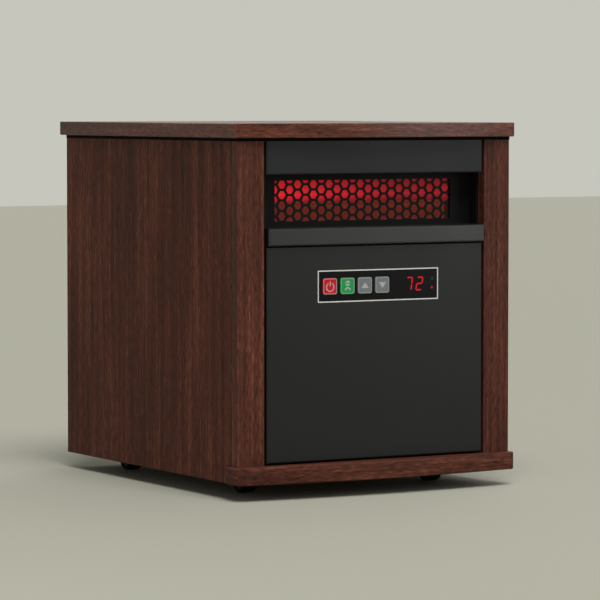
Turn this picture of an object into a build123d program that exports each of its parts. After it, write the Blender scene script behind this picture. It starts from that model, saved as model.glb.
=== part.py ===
from build123d import *
from math import cos, radians, sin, sqrt
import os

# Portable cabinet heater: a veneered cabinet on four casters, with a fan and a ceramic heating
# core behind a perforated grille. Millimetres. The origin is on the floor under the middle of the
# overall footprint, +Z is up, the front faces -Y and +X is to the right as seen from the front.

# ---------------------------------------------------------------- driving sizes: cabinet
cabinet_width = 335.0          # across the side panels
cabinet_depth = 397.0          # front face of the stiles to the rear edge of the side panels
cabinet_height = 374.0         # underside of the base rail to the top of the top board
floor_clearance = 17.5         # floor to the underside of the base rail
board = 12.7                   # thickness of sides, stiles, bottom board and rear rail
top_thickness = 15.0
top_side_overhang = 4.5
top_rear_overhang = 7.0
top_front_overhang = 4.0       # at the two front corners
top_corner = 1.2               # cut front corners
front_bow = 12.0               # further reach of the top board and base rail at the middle
stile_width = 32.0
rail_height = 18.5
rail_front_reach = 8.0         # base rail in front of the stiles, at its ends
rail_return = 24.0             # how far the base rail runs back from the stile face
rail_corner_radius = 13.0
arris = 0.7                    # eased edges of the boards
batten = 15.0                  # square section of the upright battens in the back corners
glue_gap = 0.1                 # glue line between boards

# ---------------------------------------------------------------- driving sizes: front mouldings
moulding_wall = 2.5
moulding_edge = 1.8            # rounded front edges of the mouldings
insert_gap = 2.5               # between the mouldings and the stiles
insert_head_gap = 1.5          # under the top board
insert_foot_gap = 1.5          # above the base rail
fascia_height = 36.8
outlet_height = 55.5           # open height between the fascia and the bar
outlet_depth = 26.0            # stile face to the window plate
bar_height = 18.5
bar_reach = 5.0                # bar in front of the stile face
bar_gap = 0.5                  # under the bar
window_width = 217.0
window_height = 42.7
window_rise = 6.1              # bottom of the window above the bar
window_corner_radius = 1.5
surround_wall = 2.0
surround_gap = 0.3             # between the mouldings and the surround's side walls
flange_width = 13.0            # fixing flanges behind the stiles
rib_depth = 5.0
rib_wall = 1.6
rib_pitch = 60.0

# ---------------------------------------------------------------- driving sizes: controls
control_width = 148.6
control_height = 33.7
control_drop = 26.5            # underside of the bar to the top of the control window
control_offset = 2.7           # middle of the control window to the right of centre
control_sheet = 1.4            # thickness of the control window
button_size = 17.8
button_corner = 1.7            # cut corners of the buttons
button_pitch = 21.35
button_inset = 14.6            # left edge of the window to the middle of the first button
button_names = ["power_button", "mode_button", "up_button", "down_button"]
button_proud = 0.8
button_travel = 0.7
button_flange = 1.0            # retaining flange round the button, behind the panel
button_stem = 4.0              # square stem towards the switch
display_width = 38.0
display_height = 19.0
display_depth = 8.0
display_inset = 22.5           # right edge of the window to the middle of the display
board_margin = 8.0             # circuit board beyond the control window at each end
boss_size = 6.0                # square bosses that carry the circuit board
circuit_board = 1.6
switch_size = 6.0
switch_height = 3.5
plug_width = 16.0              # board connector
plug_height = 6.0

# ---------------------------------------------------------------- driving sizes: heater
hex_pitch = 11.1
hex_web = 2.7                  # metal between two holes
hex_shift = 2.4                # middle of the hole pattern to the right of centre
hex_rise = 0.6                 # middle of the hole pattern above the middle of the window
sheet = 0.8                    # duct and bulkhead sheet metal
grille_sheet = 1.0
grille_margin = 11.0           # grille beyond the window on each side
duct_margin = 6.0              # duct beyond the window on each side
duct_flange = 8.0
collar_length = 52.0           # straight front part of the duct
lens_thickness = 2.2
light_box_depth = 16.0
light_box_wall = 1.6
light_box_drop = 2.4           # lower edge of the light box below the middle of the window
led_size = 5.0
led_height = 1.8
led_count = 7
core_depth = 20.0
core_setback = 18.5            # front of the duct to the heating core
core_frame_wall = 4.0
core_bar_height = 3.0
bar_depth = 18.0
core_bands = 3
fin_pitch = 12.0               # two flanks of the corrugation
fin_sheet = 0.6
cutoff_radius = 8.0
cutoff_height = 8.0
cutoff_ears = 16.0             # middle to the end of the fixing ears

# ---------------------------------------------------------------- driving sizes: fan
bulkhead_setback = 262.0       # stile face to the fan bulkhead
bulkhead_flange = 12.0
fan_radius = 76.0
fan_tip_gap = 2.0
shroud_wall = 2.5
shroud_half = 88.0             # half width of the square orifice plate
post_reach = 42.0              # front of the orifice plate to the rear of the struts
post_radius = 88.0             # fan axis to the middle of the posts
duct_mouth = 82.0              # half width of the duct where it meets the fan
hub_radius = 24.0
hub_length = 24.0
hub_setback = 9.0              # bulkhead to the front of the hub
blade_count = 5
blade_sheet = 1.6
blade_root_width = 15.0        # seen along the fan axis
blade_tip_width = 46.0
blade_pitch = 33.0             # degrees to the plane of rotation
blade_camber = 3.0
blade_chord = 60.0             # pressed strip that the blade is cut from
shaft_radius = 3.0
motor_width = 54.0             # laminated core
motor_height = 46.0
motor_depth = 24.0
coil_width = 28.0
coil_height = 12.0
bearing_size = 16.0
bearing_reach = 3.0
strut_width = 6.0
strut_depth = 5.0
strut_count = 4
shaft_clearance = 0.05

# ---------------------------------------------------------------- driving sizes: back
back_inset = 4.0               # back panel inside the rear edge of the sides
back_wall = 2.5
filter_size = 180.0            # square pocket for the intake cover
filter_depth = 11.0
filter_gap = 0.3
guard_bar = 3.0
guard_pitch = 14.0
guard_margin = 7.0
cover_lip = 6.0                # cover flange round the pocket
cover_flange = 2.0
cover_wall = 1.8
cover_corner = 4.0             # cut corners of the flange
louvre_count = 12
louvre_width = 7.5
louvre_thickness = 1.4
louvre_tilt = 35.0             # degrees
mesh_thickness = 1.2
grip_width = 44.0
grip_height = 5.5
grip_depth = 3.0
bushing_size = 14.0            # square barrel
bushing_flange = 3.0
bushing_corner = 2.0           # cut corners of the barrel and the flange
bushing_flange_depth = 2.0
bushing_bore_radius = 4.0
bushing_length = 12.0
bushing_inset = 40.0           # from the inside of the left side panel
bushing_rise = 34.0            # above the bottom board

# ---------------------------------------------------------------- driving sizes: electronics
power_board_width = 120.0
power_board_depth = 84.0
power_board_setback = 72.0     # stile face to the front of the power board
standoff_radius = 3.0
standoff_height = 8.0
relay_length = 20.0
relay_width = 16.0
transformer_size = 36.0
capacitor_radius = 8.0
terminal_width = 42.0
terminal_depth = 20.0
terminal_height = 16.0
tip_switch_size = 24.0
sensor_size = 9.0

# ---------------------------------------------------------------- driving sizes: casters
caster_inset_x = 51.5          # swivel axis inside the outer face of the side panel
caster_inset_y = 67.5          # swivel axis inside the front and the rear of the cabinet
caster_trail = 10.0
wheel_radius = 13.0
wheel_width = 18.0
crown_clearance = 1.3          # wheel to the fork's crown
axle_radius = 1.5
fork_sheet = 1.8
fork_top = 2.0
fork_foot = 5.0                # half width of the legs at the axle
kingpin_radius = 3.0
race_radius = 11.0
caster_plate_size = 38.0
caster_plate = 2.0
side_gap = 0.3                 # between faces that slide or turn past each other

# ---------------------------------------------------------------- places worked out from the sizes
front_reach = max(rail_front_reach, top_front_overhang) + front_bow
rear_reach = cabinet_depth + top_rear_overhang
y_face = (front_reach - rear_reach) / 2
y_stile_back = y_face + board
y_flange_back = y_stile_back + surround_wall
y_rear = y_face + cabinet_depth
y_back = y_rear - back_inset
y_back_inner = y_back - back_wall

x_side = cabinet_width / 2
x_inner = x_side - board
x_open = x_side - stile_width

z_base = floor_clearance
z_rail = z_base + rail_height
z_deck = z_rail + board
z_top = z_base + cabinet_height
z_lid = z_top - top_thickness

insert_half = x_open - insert_gap
surround_half = insert_half + surround_gap
z_fascia_top = z_lid - insert_head_gap
z_fascia = z_fascia_top - fascia_height
z_bar_top = z_fascia - outlet_height
z_bar = z_bar_top - bar_height
z_panel_top = z_bar - bar_gap
z_panel = z_rail + insert_foot_gap
y_plate = y_face + outlet_depth
z_window = z_bar_top + window_rise + window_height / 2

z_control = z_bar - control_drop - control_height / 2
x_first_button = control_offset - control_width / 2 + button_inset
x_buttons = [x_first_button + button_pitch * index for index in range(len(button_names))]
x_display = control_offset + control_width / 2 - display_inset
y_sheet_back = y_face + control_sheet
y_circuit = y_sheet_back + side_gap + display_depth
x_boss = control_width / 2 + board_margin / 2
z_boss = control_height / 2 - board_margin / 2

y_grille = y_plate + surround_wall
y_duct = y_grille + grille_sheet
duct_half = window_width / 2 + duct_margin
duct_rise = window_height / 2 + duct_margin
y_collar_end = y_duct + collar_length
y_bulkhead = y_face + bulkhead_setback
z_fan = (z_deck + z_lid) / 2
y_core = y_duct + core_setback
y_hub = y_bulkhead + sheet + hub_setback
y_motor = y_bulkhead + sheet + post_reach - strut_depth

z_caster = z_rail
caster_spots = {
    "front_left": (-x_side + caster_inset_x, y_face + caster_inset_y),
    "front_right": (x_side - caster_inset_x, y_face + caster_inset_y),
    "rear_left": (-x_side + caster_inset_x, y_rear - caster_inset_y),
    "rear_right": (x_side - caster_inset_x, y_rear - caster_inset_y),
}

parts = {}


# ---------------------------------------------------------------- helpers
def block(x0, x1, y0, y1, z0, z1):
    """Rectangular piece between two opposite corners."""
    middle = Pos((x0 + x1) / 2, (y0 + y1) / 2, (z0 + z1) / 2)
    return middle * Box(x1 - x0, y1 - y0, z1 - z0)


def front_plane(y):
    """Upright plane across the cabinet, seen from the front: local x is X and local y is Z."""
    return Plane(origin=(0, y, 0), x_dir=(1, 0, 0), z_dir=(0, -1, 0))


def from_front(outline, y, depth):
    """Push an outline drawn in X and Z, as seen from the front, backwards from y."""
    return extrude(front_plane(y) * outline, -depth)


def upright(outline, z, height):
    """Raise an outline drawn in plan from z."""
    return extrude(Pos(0, 0, z) * outline, height)


def from_left(outline, x, width):
    """Push an outline drawn in Y and Z to the right from x."""
    return extrude(Plane.YZ.offset(x) * outline, width)


def polygon(*points):
    """Face inside a closed line of points."""
    return make_face(Polyline(*points, close=True))


def mirrored(shape):
    """The same piece on the other side of the middle plane."""
    return mirror(shape, about=Plane.YZ)


def group(shapes):
    """Several separate solids in one node."""
    return Compound(children=[piece for shape in shapes for piece in shape.solids()])


def bowed_corners(half_width, y_back, y_corner, bow):
    """Front corners of a board's plan whose front edge is an arc."""
    left, right = (-half_width, y_corner), (half_width, y_corner)
    sides = Polyline(left, (-half_width, y_back), (half_width, y_back), right)
    plan = make_face(sides + ThreePointArc(right, (0, y_corner - bow), left))
    return plan.vertices().sort_by(Axis.Y)[:2]


def eased_slab(plan, z, height):
    """Board of the given plan with eased upper and lower edges."""
    slab = upright(plan, z, height)
    layers = slab.edges().group_by(Axis.Z)
    return chamfer(layers[0] + layers[-1], arris)


def moulded_tray(half_width, y0, y1, z0, z1):
    """Moulding with rounded front edges, hollow from behind."""
    outer = block(-half_width, half_width, y0, y1, z0, z1)
    outer = fillet(outer.faces().sort_by(Axis.Y)[0].edges(), moulding_edge)
    wall = moulding_wall
    return outer - block(wall - half_width, half_width - wall, y0 + wall, y1, z0 + wall, z1 - wall)


# ---------------------------------------------------------------- cabinet boards
def make_cabinet():
    half_top = x_side + top_side_overhang
    y_top_corner = y_face - top_front_overhang
    corners = bowed_corners(half_top, y_face + rear_reach, y_top_corner, front_bow)
    parts["top_board"] = eased_slab(chamfer(corners, top_corner), z_lid, top_thickness)

    y_rail_corner = y_face - rail_front_reach
    corners = bowed_corners(x_side, y_face + rail_return, y_rail_corner, front_bow)
    parts["base_rail"] = eased_slab(fillet(corners, rail_corner_radius), z_base, rail_height)

    y_notch = y_face + rail_return + glue_gap
    side_profile = polygon(
        (y_stile_back + glue_gap, z_rail + glue_gap),
        (y_notch, z_rail + glue_gap),
        (y_notch, z_base),
        (y_rear, z_base),
        (y_rear, z_lid),
        (y_stile_back + glue_gap, z_lid),
    )
    side = from_left(side_profile, x_inner, board)
    side = chamfer(side.faces().sort_by(Axis.X)[-1].edges(), arris)
    parts["right_side_panel"] = side
    parts["left_side_panel"] = mirrored(side)

    stile = block(x_open, x_side, y_face, y_stile_back, z_rail, z_lid)
    stile = chamfer(stile.edges().filter_by(Axis.Z), arris)
    parts["right_stile"] = stile
    parts["left_stile"] = mirrored(stile)

    y_bottom = y_flange_back + glue_gap
    parts["bottom_board"] = block(-x_inner, x_inner, y_bottom, y_back_inner, z_rail, z_deck)
    rear_rail = block(-x_inner, x_inner, y_rear - board, y_rear, z_base, z_rail)
    parts["rear_rail"] = chamfer(rear_rail.edges().filter_by(Axis.X).sort_by(Axis.Z)[:2], arris)

    right_batten = block(x_inner - batten, x_inner, y_back_inner - batten, y_back_inner, z_deck, z_lid)
    parts["back_battens"] = group([right_batten, mirrored(right_batten)])


# ---------------------------------------------------------------- front mouldings
def make_front_mouldings():
    parts["upper_fascia"] = moulded_tray(insert_half, y_face, y_plate, z_fascia, z_fascia_top)
    parts["mid_bar"] = moulded_tray(insert_half, y_face - bar_reach, y_plate, z_bar, z_bar_top)

    # hat section in plan: fixing flanges behind the stiles, side walls, window plate
    x_wall = surround_half + surround_wall
    x_flange = x_wall + flange_width
    hat = polygon(
        (x_flange, y_stile_back),
        (x_flange, y_flange_back),
        (x_wall, y_flange_back),
        (x_wall, y_grille),
        (-x_wall, y_grille),
        (-x_wall, y_flange_back),
        (-x_flange, y_flange_back),
        (-x_flange, y_stile_back),
        (-surround_half, y_stile_back),
        (-surround_half, y_plate),
        (surround_half, y_plate),
        (surround_half, y_stile_back),
    )
    surround = upright(hat, z_bar, z_fascia_top - z_bar)
    window = Pos(0, z_window) * RectangleRounded(window_width, window_height, window_corner_radius)
    parts["outlet_surround"] = surround - from_front(window, y_plate, surround_wall)

    parts["lower_panel"] = make_lower_panel()


def make_lower_panel():
    wall = moulding_wall
    panel = moulded_tray(insert_half, y_face, y_flange_back, z_panel, z_panel_top)
    x_flange = surround_half + surround_wall + flange_width
    flange = block(insert_half - wall, x_flange, y_stile_back, y_flange_back, z_panel, z_panel_top)
    panel += flange + mirrored(flange)

    # stiffening ribs below the controls
    z_rib_top = z_control - control_height / 2 - board_margin - rib_depth
    y_rib = y_face + wall
    for step in (-1, 0, 1):
        x = step * rib_pitch - rib_wall / 2
        panel += block(x, x + rib_wall, y_rib, y_rib + rib_depth, z_panel + wall, z_rib_top)

    # bosses that carry the control board
    corners = Pos(control_offset, z_control) * GridLocations(2 * x_boss, 2 * z_boss, 2, 2)
    for corner in corners:
        panel += from_front(corner * Rectangle(boss_size, boss_size), y_rib, y_circuit - y_rib)

    # pocket for the control window, with openings for the buttons and the display
    clear = 2 * side_gap
    pocket = Rectangle(control_width + clear, control_height + clear)
    panel -= from_front(Pos(control_offset, z_control) * pocket, y_face, control_sheet)
    for x in x_buttons:
        opening = Pos(x, z_control) * Rectangle(button_size + clear, button_size + clear)
        panel -= from_front(opening, y_face, wall)
    display = Rectangle(display_width + clear, display_height + clear)
    return panel - from_front(Pos(x_display, z_control) * display, y_face, wall)


def button_openings():
    """Openings of the control window that the buttons slide in."""
    return Sketch() + [Pos(x, z_control) * button_outline(side_gap) for x in x_buttons]


def button_outline(gap):
    """Square with cut corners, grown by a gap on every side."""
    size = button_size + 2 * gap
    return chamfer(Rectangle(size, size).vertices(), button_corner)


# ---------------------------------------------------------------- controls
def make_controls():
    centre = Pos(control_offset, z_control)
    window = centre * Rectangle(control_width, control_height)
    parts["control_window"] = from_front(window - button_openings(), y_face, control_sheet)

    display = Pos(x_display, z_control) * Rectangle(display_width, display_height)
    parts["display_module"] = from_front(display, y_sheet_back + side_gap, display_depth)

    width = control_width + 2 * board_margin
    control_board = from_front(centre * Rectangle(width, control_height), y_circuit, circuit_board)
    for x in x_buttons:
        switch = Pos(x, z_control) * Rectangle(switch_size, switch_size)
        control_board += from_front(switch, y_circuit - switch_height, switch_height)
    plug = Pos(x_display, z_control) * Rectangle(plug_width, plug_height)
    parts["control_board"] = control_board + from_front(plug, y_circuit + circuit_board, plug_height)

    # buttons: cap, retaining flange behind the panel, stem towards the switch
    y_flange = y_face + moulding_wall + side_gap
    y_stem_end = y_circuit - switch_height - button_travel - side_gap
    flange_size = button_size + 2 * button_flange + 2 * side_gap
    for name, x in zip(button_names, x_buttons):
        spot = Pos(x, z_control)
        outline = spot * button_outline(0)
        y_cap = y_face - button_proud
        cap = from_front(outline, y_cap, y_flange - y_cap)
        cap = chamfer(cap.faces().sort_by(Axis.Y)[0].edges(), button_proud / 2)
        flange = from_front(spot * Rectangle(flange_size, flange_size), y_flange, button_flange)
        stem = from_front(spot * Rectangle(button_stem, button_stem), y_flange, y_stem_end - y_flange)
        parts[name] = cap + flange + stem


# ---------------------------------------------------------------- grille and heater
def hex_holes():
    """Flat-topped hexagons on a triangular grid that fills the window and runs past its edges."""
    hole = RegularPolygon((hex_pitch - hex_web) / 2, 6, major_radius=False)
    column_pitch = hex_pitch * sqrt(3) / 2
    columns = 2 * int(window_width / 2 / column_pitch + 1)
    rows = int(window_height / hex_pitch + 0.5)
    z_middle = z_window + hex_rise
    places = []
    for column in range(columns):
        x = hex_shift + (column - (columns - 1) / 2) * column_pitch
        count = rows + 1 if column % 2 == 0 else rows
        places += [(x, z_middle + (row - (count - 1) / 2) * hex_pitch) for row in range(count)]
    return Sketch() + [Pos(x, z) * hole for x, z in places]


def make_outlet():
    plate = Pos(0, z_window) * Rectangle(window_width + 2 * grille_margin, window_height + 2 * grille_margin)
    parts["hex_grille"] = from_front(plate - hex_holes(), y_grille, grille_sheet)

    # light box: a channel that opens to the front, hung under the top of the duct
    half = duct_half - side_gap
    z_low, z_high = z_window - light_box_drop, z_window + duct_rise
    y_box = y_duct + 2 * side_gap
    wall = light_box_wall
    box = block(-half, half, y_box, y_box + light_box_depth, z_low, z_high)
    y_box_back = y_box + light_box_depth - wall
    box -= block(wall - half, half - wall, y_box, y_box_back, z_low + wall, z_high - wall)
    rim = wall / 2
    y_lens_back = y_box + lens_thickness
    box -= block(rim - half, half - rim, y_box, y_lens_back, z_low + rim, z_high - rim)
    parts["light_box"] = box
    rim += glue_gap
    parts["glow_lens"] = block(rim - half, half - rim, y_box, y_lens_back, z_low + rim, z_high - rim)

    z_middle = (z_low + z_high) / 2
    strip_half = half - wall - side_gap
    y_strip = y_box_back - circuit_board
    strip = block(-strip_half, strip_half, y_strip, y_box_back, z_middle - led_size, z_middle + led_size)
    led_pitch = 2 * strip_half / led_count
    for index in range(led_count):
        x = (index - (led_count - 1) / 2) * led_pitch
        led = Pos(x, z_middle) * Rectangle(led_size, led_size)
        strip += from_front(led, y_strip - led_height, led_height)
    parts["led_strip"] = strip


def make_duct():
    def body(grow):
        """Straight collar and the taper to the square fan mouth, grown by a wall on each side."""
        half, rise, mouth = duct_half + grow, duct_rise + grow, duct_mouth + grow
        plan = polygon(
            (-half, y_duct),
            (half, y_duct),
            (half, y_collar_end),
            (mouth, y_bulkhead),
            (-mouth, y_bulkhead),
            (-half, y_collar_end),
        )
        profile = polygon(
            (y_duct, z_window - rise),
            (y_collar_end, z_window - rise),
            (y_bulkhead, z_fan - mouth),
            (y_bulkhead, z_fan + mouth),
            (y_collar_end, z_window + rise),
            (y_duct, z_window + rise),
        )
        return upright(plan, z_deck, z_lid - z_deck) & from_left(profile, -half, 2 * half)

    rim = Pos(0, z_window) * Rectangle(2 * (duct_half + duct_flange), 2 * (duct_rise + duct_flange))
    duct = body(sheet) + from_front(rim, y_duct, sheet)
    parts["heat_duct"] = duct - body(0)


def make_core():
    """Ceramic heating core: a frame, ceramic bars across it and corrugated fins between them."""
    outer = Pos(0, z_window) * Rectangle(2 * duct_half, 2 * duct_rise)
    inner_half, inner_rise = duct_half - core_frame_wall, duct_rise - core_frame_wall
    inner = Pos(0, z_window) * Rectangle(2 * inner_half, 2 * inner_rise)
    parts["core_frame"] = from_front(outer - inner, y_core, core_depth)

    bar_count = core_bands + 1
    band_height = (2 * inner_rise - bar_count * core_bar_height) / core_bands
    bars, fins = [], []
    for index in range(bar_count):
        z = z_window - inner_rise + index * (band_height + core_bar_height)
        bars.append(block(-inner_half, inner_half, y_core, y_core + bar_depth, z, z + core_bar_height))
        if index < core_bands:
            fins.append(fin_band(inner_half, z + core_bar_height, band_height))
    parts["ceramic_bars"] = group(bars)
    parts["core_fins"] = group(fins)


def fin_band(half_width, z, height):
    """One corrugated strip between two ceramic bars."""
    waves = 2 * int(half_width / fin_pitch)
    rise = height - fin_sheet
    step = half_width / waves * 2 - fin_sheet / waves
    lower = [(-half_width + index * step, z + (index % 2) * rise) for index in range(waves + 1)]
    upper = [(x, z_low + fin_sheet) for x, z_low in reversed(lower)]
    return from_front(polygon(*lower, *upper), y_core, bar_depth)


def make_safety_parts():
    # snap-disc cut-off on top of the duct, above the core
    y = y_core + core_depth / 2
    z = z_window + duct_rise + sheet
    ears = block(-cutoff_ears, cutoff_ears, y - cutoff_radius / 2, y + cutoff_radius / 2, z, z + sheet)
    can = upright(Pos(0, y) * RegularPolygon(cutoff_radius, 8), z, cutoff_height)
    x = cutoff_radius / 2
    tab = block(x, x + sheet, y - x, y + x, z + cutoff_height, z + 2 * cutoff_height)
    parts["thermal_cutoff"] = ears + can + tab + mirrored(tab)

    size = tip_switch_size
    x = power_board_width / 2 + size
    tip = block(x, x + size, y_core, y_core + size, z_deck, z_deck + size)
    parts["tip_over_switch"] = chamfer(tip.edges().filter_by(Axis.Z), size / 10)

    # room sensor: a clip on the back panel, open round the bead of the thermistor
    size = sensor_size
    x = filter_size / 2 + 2 * size
    clip = block(x, x + size, y_back_inner - size, y_back_inner, z_fan, z_fan + size)
    third = size / 3
    bead = Pos(x + size / 2, z_fan + size / 2) * Rectangle(third, third)
    parts["room_sensor"] = clip + from_front(bead, y_back_inner - size - third, third)


# ---------------------------------------------------------------- fan
def fan_plane(y):
    """Plane across the fan axis whose normal points to the rear."""
    return Plane(origin=(0, y, z_fan), x_dir=(1, 0, 0), z_dir=(0, 1, 0))


def make_fan():
    # bulkhead: sheet across the cabinet, flanged along its sides and foot
    x_wall = x_inner - glue_gap
    bulkhead = block(-x_wall, x_wall, y_bulkhead, y_bulkhead + sheet, z_deck, z_lid - side_gap)
    foot = block(-x_wall, x_wall, y_bulkhead, y_bulkhead + bulkhead_flange, z_deck, z_deck + sheet)
    edge = block(x_wall - sheet, x_wall, y_bulkhead, y_bulkhead + bulkhead_flange, z_deck, z_lid - side_gap)
    bulkhead += foot + edge + mirrored(edge)
    mouth = extrude(fan_plane(y_bulkhead) * Rectangle(2 * duct_mouth, 2 * duct_mouth), sheet)
    parts["fan_bulkhead"] = bulkhead - mouth

    # shroud: orifice plate, four posts and the struts that hold the motor frame, in one moulding
    y0 = y_bulkhead + sheet
    plate = Rectangle(2 * shroud_half, 2 * shroud_half) - Circle(fan_radius + fan_tip_gap)
    shroud = extrude(fan_plane(y0) * plate, shroud_wall)
    frame = Rectangle(motor_width + 2 * shroud_wall, motor_height + 2 * shroud_wall)
    struts = Sketch() + frame
    for index in range(strut_count):
        turn = Rot(0, 0, 45 + 360 / strut_count * index)
        struts += turn * Pos(post_radius / 2, 0) * Rectangle(post_radius, strut_width)
        post = turn * Pos(post_radius, 0) * Rectangle(strut_width, strut_width)
        shroud += extrude(fan_plane(y0) * post, post_reach)
    struts -= Rectangle(motor_width, motor_height)
    parts["fan_shroud"] = shroud + extrude(fan_plane(y_motor) * struts, strut_depth)

    # shaded-pole motor: laminated core, coil on its upper limb, bearing bosses front and rear
    motor = extrude(fan_plane(y_motor) * Rectangle(motor_width, motor_height), motor_depth)
    y_bearing = y_motor - bearing_reach
    bearing_length = motor_depth + 2 * bearing_reach
    motor += extrude(fan_plane(y_bearing) * Rectangle(bearing_size, bearing_size), bearing_length)
    y_coil, z_coil = y_motor + strut_depth + side_gap, z_fan + motor_height / 2
    y_coil_back = y_motor + motor_depth + bearing_reach
    motor += block(-coil_width / 2, coil_width / 2, y_coil, y_coil_back, z_coil, z_coil + coil_height)
    bore = Circle(shaft_radius + shaft_clearance)
    parts["fan_motor"] = motor - extrude(fan_plane(y_bearing) * bore, motor_depth)

    shaft_length = y_bearing + motor_depth - side_gap - y_hub
    parts["motor_shaft"] = extrude(fan_plane(y_hub) * Circle(shaft_radius), shaft_length)
    parts["fan_rotor"] = make_rotor()


def fan_axis():
    return Axis((0, y_bulkhead, z_fan), (0, 1, 0))


def make_rotor():
    """Axial rotor: a plain hub with pitched, cambered blades that follow the orifice."""
    rotor = extrude(fan_plane(y_hub) * (Circle(hub_radius) - Circle(shaft_radius)), hub_length)
    for index in range(blade_count):
        rotor += fan_blade(360 / blade_count * index)
    return rotor


def fan_blade(angle):
    """One blade: a pitched, cambered strip cut to a wedge whose tip follows the orifice."""
    root = hub_radius - blade_sheet
    half = blade_chord / 2
    low = ThreePointArc((-half, 0), (0, blade_camber), (half, 0))
    crest = blade_camber + blade_sheet
    high = ThreePointArc((half, blade_sheet), (0, crest), (-half, blade_sheet))
    ends = Line((half, 0), (half, blade_sheet)) + Line((-half, blade_sheet), (-half, 0))
    section = make_face(low + ends + high)
    middle = Vector(0, y_hub + hub_length / 2, z_fan)
    upwards = Plane(origin=middle + Vector(0, 0, root), x_dir=(1, 0, 0), z_dir=(0, 0, 1))
    strip = extrude(upwards * Rot(0, 0, blade_pitch) * section, fan_radius - root)

    root_half, tip_half = blade_root_width / 2, blade_tip_width / 2
    wedge = polygon((-root_half, root), (root_half, root), (tip_half, fan_radius), (-tip_half, fan_radius))
    reach = extrude(front_plane(y_hub) * Pos(0, z_fan) * (wedge & Circle(fan_radius)), -hub_length)
    return (strip & reach).rotate(fan_axis(), angle)


# ---------------------------------------------------------------- back
def make_back():
    z0, z1 = z_rail + side_gap, z_lid - side_gap
    panel = block(side_gap - x_inner, x_inner - side_gap, y_back_inner, y_back, z0, z1)
    half = filter_size / 2
    y_guard = y_back - filter_depth
    pocket_outer = Pos(0, z_fan) * Rectangle(filter_size + 2 * back_wall, filter_size + 2 * back_wall)
    panel += from_front(pocket_outer, y_guard - back_wall, filter_depth)
    panel -= from_front(Pos(0, z_fan) * Rectangle(filter_size, filter_size), y_guard, filter_depth)

    # guard bars across the inner end of the pocket
    slot_width = filter_size - 2 * guard_margin
    slots = int(slot_width / guard_pitch)
    slot = Rectangle(slot_width, guard_pitch - guard_bar)
    rows = [Pos(0, z_fan + (index - (slots - 1) / 2) * guard_pitch) * slot for index in range(slots)]
    panel -= from_front(Sketch() + rows, y_guard - back_wall, back_wall)

    parts["back_panel"] = panel - from_front(bushing_outline(0), y_back_inner, back_wall)

    # bushing: flange outside the panel, barrel through it, bore for the cord
    y_barrel = y_back + bushing_flange_depth - bushing_length
    flange = from_front(bushing_outline(bushing_flange), y_back, bushing_flange_depth)
    barrel = from_front(bushing_outline(0), y_barrel, y_back - y_barrel)
    bore = Pos(*bushing_spot()) * Circle(bushing_bore_radius)
    parts["cord_bushing"] = flange + barrel - from_front(bore, y_barrel, bushing_length)


def bushing_spot():
    return -x_inner + bushing_inset, z_deck + bushing_rise


def bushing_outline(grow):
    """Square with cut corners round the cord's axis, grown on every side."""
    size = bushing_size + 2 * grow
    return Pos(*bushing_spot()) * chamfer(Rectangle(size, size).vertices(), bushing_corner)


def make_intake_cover():
    """Louvred cover that plugs into the pocket, with the filter mesh behind its louvres."""
    y_seat = y_back + shaft_clearance
    y_outer = y_seat + cover_flange
    outer = filter_size / 2 - filter_gap
    inner = outer - cover_wall
    lip = outer + cover_lip
    y_skirt = y_back - filter_depth + side_gap + mesh_thickness
    centre = Pos(0, z_fan)
    flange = from_front(centre * Rectangle(2 * lip, 2 * lip), y_seat, cover_flange)
    flange = chamfer(flange.edges().filter_by(Axis.Y), cover_corner)
    flange = chamfer(flange.faces().sort_by(Axis.Y)[-1].edges(), cover_flange / 2)
    skirt = from_front(centre * Rectangle(2 * outer, 2 * outer), y_skirt, y_seat - y_skirt)
    hollow = from_front(centre * Rectangle(2 * inner, 2 * inner), y_skirt, y_outer - y_skirt)
    cover = flange + skirt - hollow

    # louvres slope down towards the rear
    pitch = 2 * inner / louvre_count
    rise = louvre_width / 2 * sin(radians(louvre_tilt))
    run = louvre_width / 2 * cos(radians(louvre_tilt))
    y_louvre = y_outer - run
    half_span = inner + cover_wall / 2
    for index in range(louvre_count):
        z = z_fan - inner + (index + 0.5) * pitch
        slat = polygon(
            (y_louvre - run, z + rise),
            (y_louvre + run, z - rise),
            (y_louvre + run, z - rise + louvre_thickness),
            (y_louvre - run, z + rise + louvre_thickness),
        )
        cover += from_left(slat, -half_span, 2 * half_span)

    # finger grip along the top of the flange
    z_grip = z_fan + lip - cover_flange / 2
    y_grip = y_outer + grip_depth
    grip = block(-grip_width / 2, grip_width / 2, y_seat, y_grip, z_grip - grip_height, z_grip)
    grip = chamfer(grip.faces().sort_by(Axis.Y)[-1].edges(), grip_depth / 4)
    parts["intake_cover"] = cover + grip

    mesh = centre * Rectangle(2 * outer, 2 * outer)
    parts["filter_mesh"] = from_front(mesh, y_skirt - mesh_thickness, mesh_thickness)


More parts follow.
